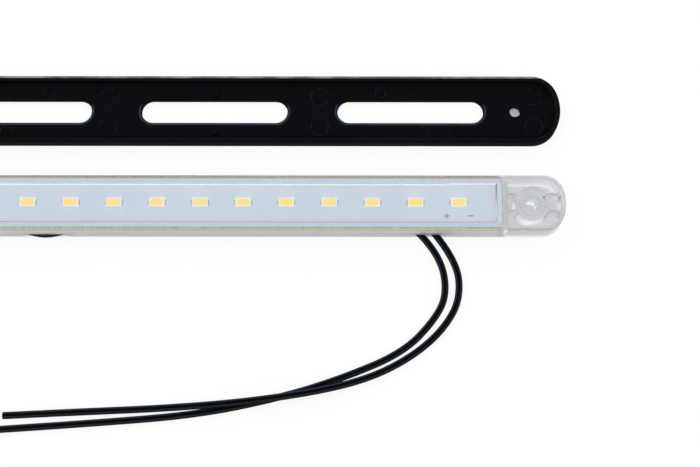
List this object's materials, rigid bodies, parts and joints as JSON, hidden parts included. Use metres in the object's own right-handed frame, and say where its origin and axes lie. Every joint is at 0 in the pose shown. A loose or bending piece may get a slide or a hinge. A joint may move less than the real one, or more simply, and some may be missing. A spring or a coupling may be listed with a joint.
{
  "type": "dome light",
  "caption": "Slim clear LED strip dome light for a vehicle interior, with screw-boss ends, a potted board, two black supply wires and a separate black slotted mounting frame.",
  "frame": {"origin": "centre of the lamp's back, midway between its two screw holes", "axes": "+X along the lamp, +Z out of the lit side, +Y towards the loose mounting frame"},
  "size_m": [0.2407, 0.1236, 0.01],
  "materials": {
    "clear_plastic": "clear moulded, polished",
    "board_white": "white solder mask",
    "resin_grey": "poured resin, satin",
    "black_plastic": "moulded, fine satin",
    "wire_black": "extruded insulation, satin",
    "copper": "stranded copper",
    "black_plastic_part": "moulded",
    "resistor_ceramic": "ceramic chip",
    "led_white": "white moulded",
    "led_phosphor": "silicone with yellow phosphor",
    "tin": "tinned"
  },
  "bodies": {
    "root": {"lens_housing": "clear_plastic", "circuit_board": "board_white", "potting": "resin_grey", "mounting_frame": "black_plastic", "wire_1": "wire_black", "wire_2": "wire_black", "wire_core_1": "copper", "wire_core_2": "copper", "protection_diode": "black_plastic_part", "resistor_1": "resistor_ceramic", "resistor_2": "resistor_ceramic", "resistor_3": "resistor_ceramic", "resistor_4": "resistor_ceramic", "led_01_housing": "led_white", "led_01_phosphor": "led_phosphor", "led_01_terminals": "tin", "led_02_housing": "led_white", "led_02_phosphor": "led_phosphor", "led_02_terminals": "tin", "led_03_housing": "led_white", "led_03_phosphor": "led_phosphor", "led_03_terminals": "tin", "led_04_housing": "led_white", "led_04_phosphor": "led_phosphor", "led_04_terminals": "tin", "led_05_housing": "led_white", "led_05_phosphor": "led_phosphor", "led_05_terminals": "tin", "led_06_housing": "led_white", "led_06_phosphor": "led_phosphor", "led_06_terminals": "tin", "led_07_housing": "led_white", "led_07_phosphor": "led_phosphor", "led_07_terminals": "tin", "led_08_housing": "led_white", "led_08_phosphor": "led_phosphor", "led_08_terminals": "tin", "led_09_housing": "led_white", "led_09_phosphor": "led_phosphor", "led_09_terminals": "tin", "led_10_housing": "led_white", "led_10_phosphor": "led_phosphor", "led_10_terminals": "tin", "led_11_housing": "led_white", "led_11_phosphor": "led_phosphor", "led_11_terminals": "tin", "led_12_housing": "led_white", "led_12_phosphor": "led_phosphor", "led_12_terminals": "tin"}
  },
  "joints": []
}
